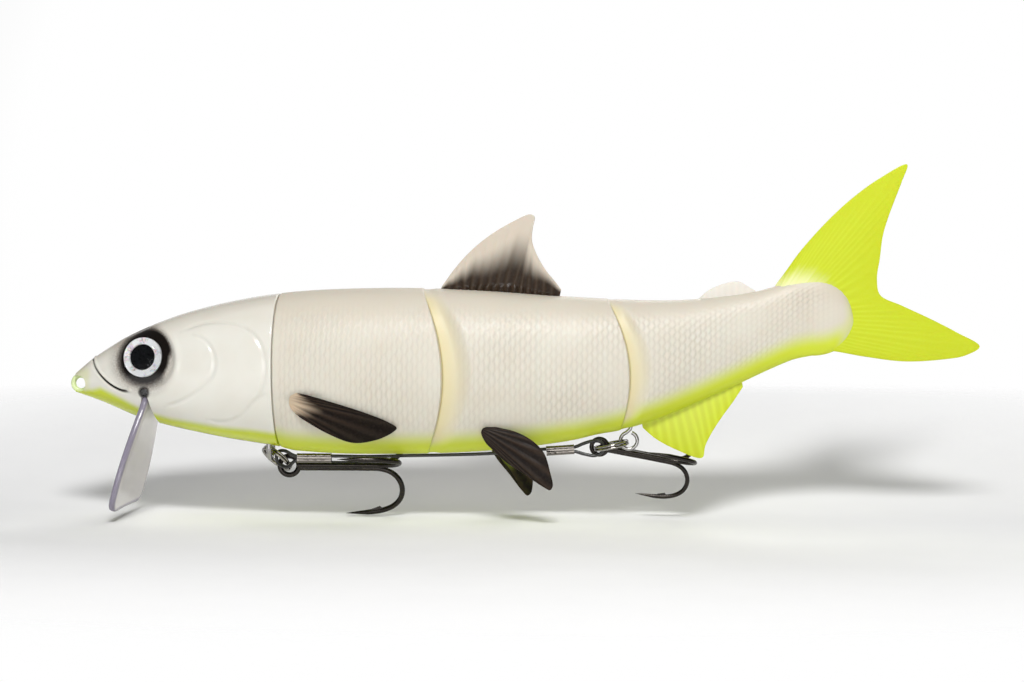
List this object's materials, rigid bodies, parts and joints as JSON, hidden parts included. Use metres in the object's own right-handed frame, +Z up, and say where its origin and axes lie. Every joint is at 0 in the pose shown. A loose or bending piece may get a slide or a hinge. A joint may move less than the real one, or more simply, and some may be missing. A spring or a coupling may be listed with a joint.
{
  "type": "jointed swimbait fishing lure",
  "caption": "Fish-shaped lure with a hard head, clear diving lip, hinged soft body, soft tail and treble hooks on split rings.",
  "frame": {"origin": "centre of the hole in the line-tie eye on the nose", "axes": "+X from the nose towards the tail, -Y out of the fish's left side, +Z up"},
  "size_m": [0.25, 0.032, 0.0976],
  "materials": {
    "head_paint": "glossy pearl white with chartreuse under the jaw",
    "soft_skin": "satin pearl with embossed scales, chartreuse belly",
    "dark_fin": "satin, streaked dark brown along the rays",
    "cream_fin": "satin, slightly see-through",
    "chartreuse_fin": "satin with fine rays",
    "eye_foil": "silver foil with coloured glints",
    "eye_resin": "clear polished",
    "clear_plastic": "clear polished",
    "lead": "dull cast",
    "nylon": "matt",
    "wire_steel": "bright wire",
    "ring_steel": "bright nickel",
    "black_nickel": "black nickel",
    "coated_wire": "black nylon coating",
    "crimp_metal": "shiny black nickel"
  },
  "bodies": {
    "head": {"through_wire": "wire_steel", "head_shell_left": "head_paint", "head_shell_right": "head_paint", "eye_iris_left": "eye_foil", "eye_dome_left": "eye_resin", "eye_iris_right": "eye_foil", "eye_dome_right": "eye_resin", "diving_lip": "clear_plastic", "head_ballast": "lead", "coupling_plug": "nylon", "coupling_pin": "wire_steel", "front_spine_link": "nylon", "front_body": "soft_skin", "pectoral_fin_left": "dark_fin", "pectoral_fin_right": "dark_fin", "leader_wire": "coated_wire", "front_crimp_sleeve": "crimp_metal"},
    "middle": {"middle_body": "soft_skin", "middle_spine_link": "nylon", "front_hinge_pin": "wire_steel", "rear_hinge_pin": "wire_steel", "dorsal_fin": "dark_fin", "pelvic_fin_left": "dark_fin", "pelvic_fin_right": "dark_fin", "rear_crimp_sleeve": "crimp_metal"},
    "tail": {"tail_body": "soft_skin", "tail_spine_link": "nylon", "adipose_fin": "cream_fin", "anal_fin": "chartreuse_fin"},
    "fin": {"tail_fin": "chartreuse_fin"},
    "front_ring": {"front_split_ring": "ring_steel"},
    "front_hook": {"front_treble_hook": "black_nickel"},
    "rear_ring": {"rear_split_ring": "ring_steel"},
    "rear_hook": {"rear_treble_hook": "black_nickel"}
  },
  "joints": [
    {"name": "front_flex", "type": "hinge", "parent": "head", "child": "middle", "pos_m": [0.103, 0, 0.003], "axis": [0, 0, 1], "range_deg": [-22, 22], "stiffness_Nm_per_rad": 0.08, "deforming": ["leader_wire"]},
    {"name": "rear_flex", "type": "hinge", "parent": "middle", "child": "tail", "pos_m": [0.1536, 0, 0.005], "axis": [0, 0, 1], "range_deg": [-18, 18], "stiffness_Nm_per_rad": 0.05},
    {"name": "tail_flex", "type": "hinge", "parent": "tail", "child": "fin", "pos_m": [0.1981, 0, 0.02], "axis": [0, 0, 1], "range_deg": [-25, 25], "stiffness_Nm_per_rad": 0.02},
    {"name": "front_ring_swing", "type": "hinge", "parent": "head", "child": "front_ring", "pos_m": [0.0535, 0, -0.0182], "axis": [1, 0, 0], "range_deg": [-20, 0], "deforming": ["leader_wire"]},
    {"name": "front_hook_swing", "type": "hinge", "parent": "front_ring", "child": "front_hook", "pos_m": [0.0582, 0.00305, -0.0235], "axis": [0, 1, 0], "range_deg": [0, 90]},
    {"name": "rear_ring_swing", "type": "hinge", "parent": "middle", "child": "rear_ring", "pos_m": [0.1521, 0, -0.0155], "axis": [0, 1, 0], "range_deg": [0, 8], "deforming": ["leader_wire"]},
    {"name": "rear_hook_swing", "type": "hinge", "parent": "rear_ring", "child": "rear_hook", "pos_m": [0.1442, 0.0027, -0.0172], "axis": [0, 1, 0], "range_deg": [0, 85]}
  ]
}
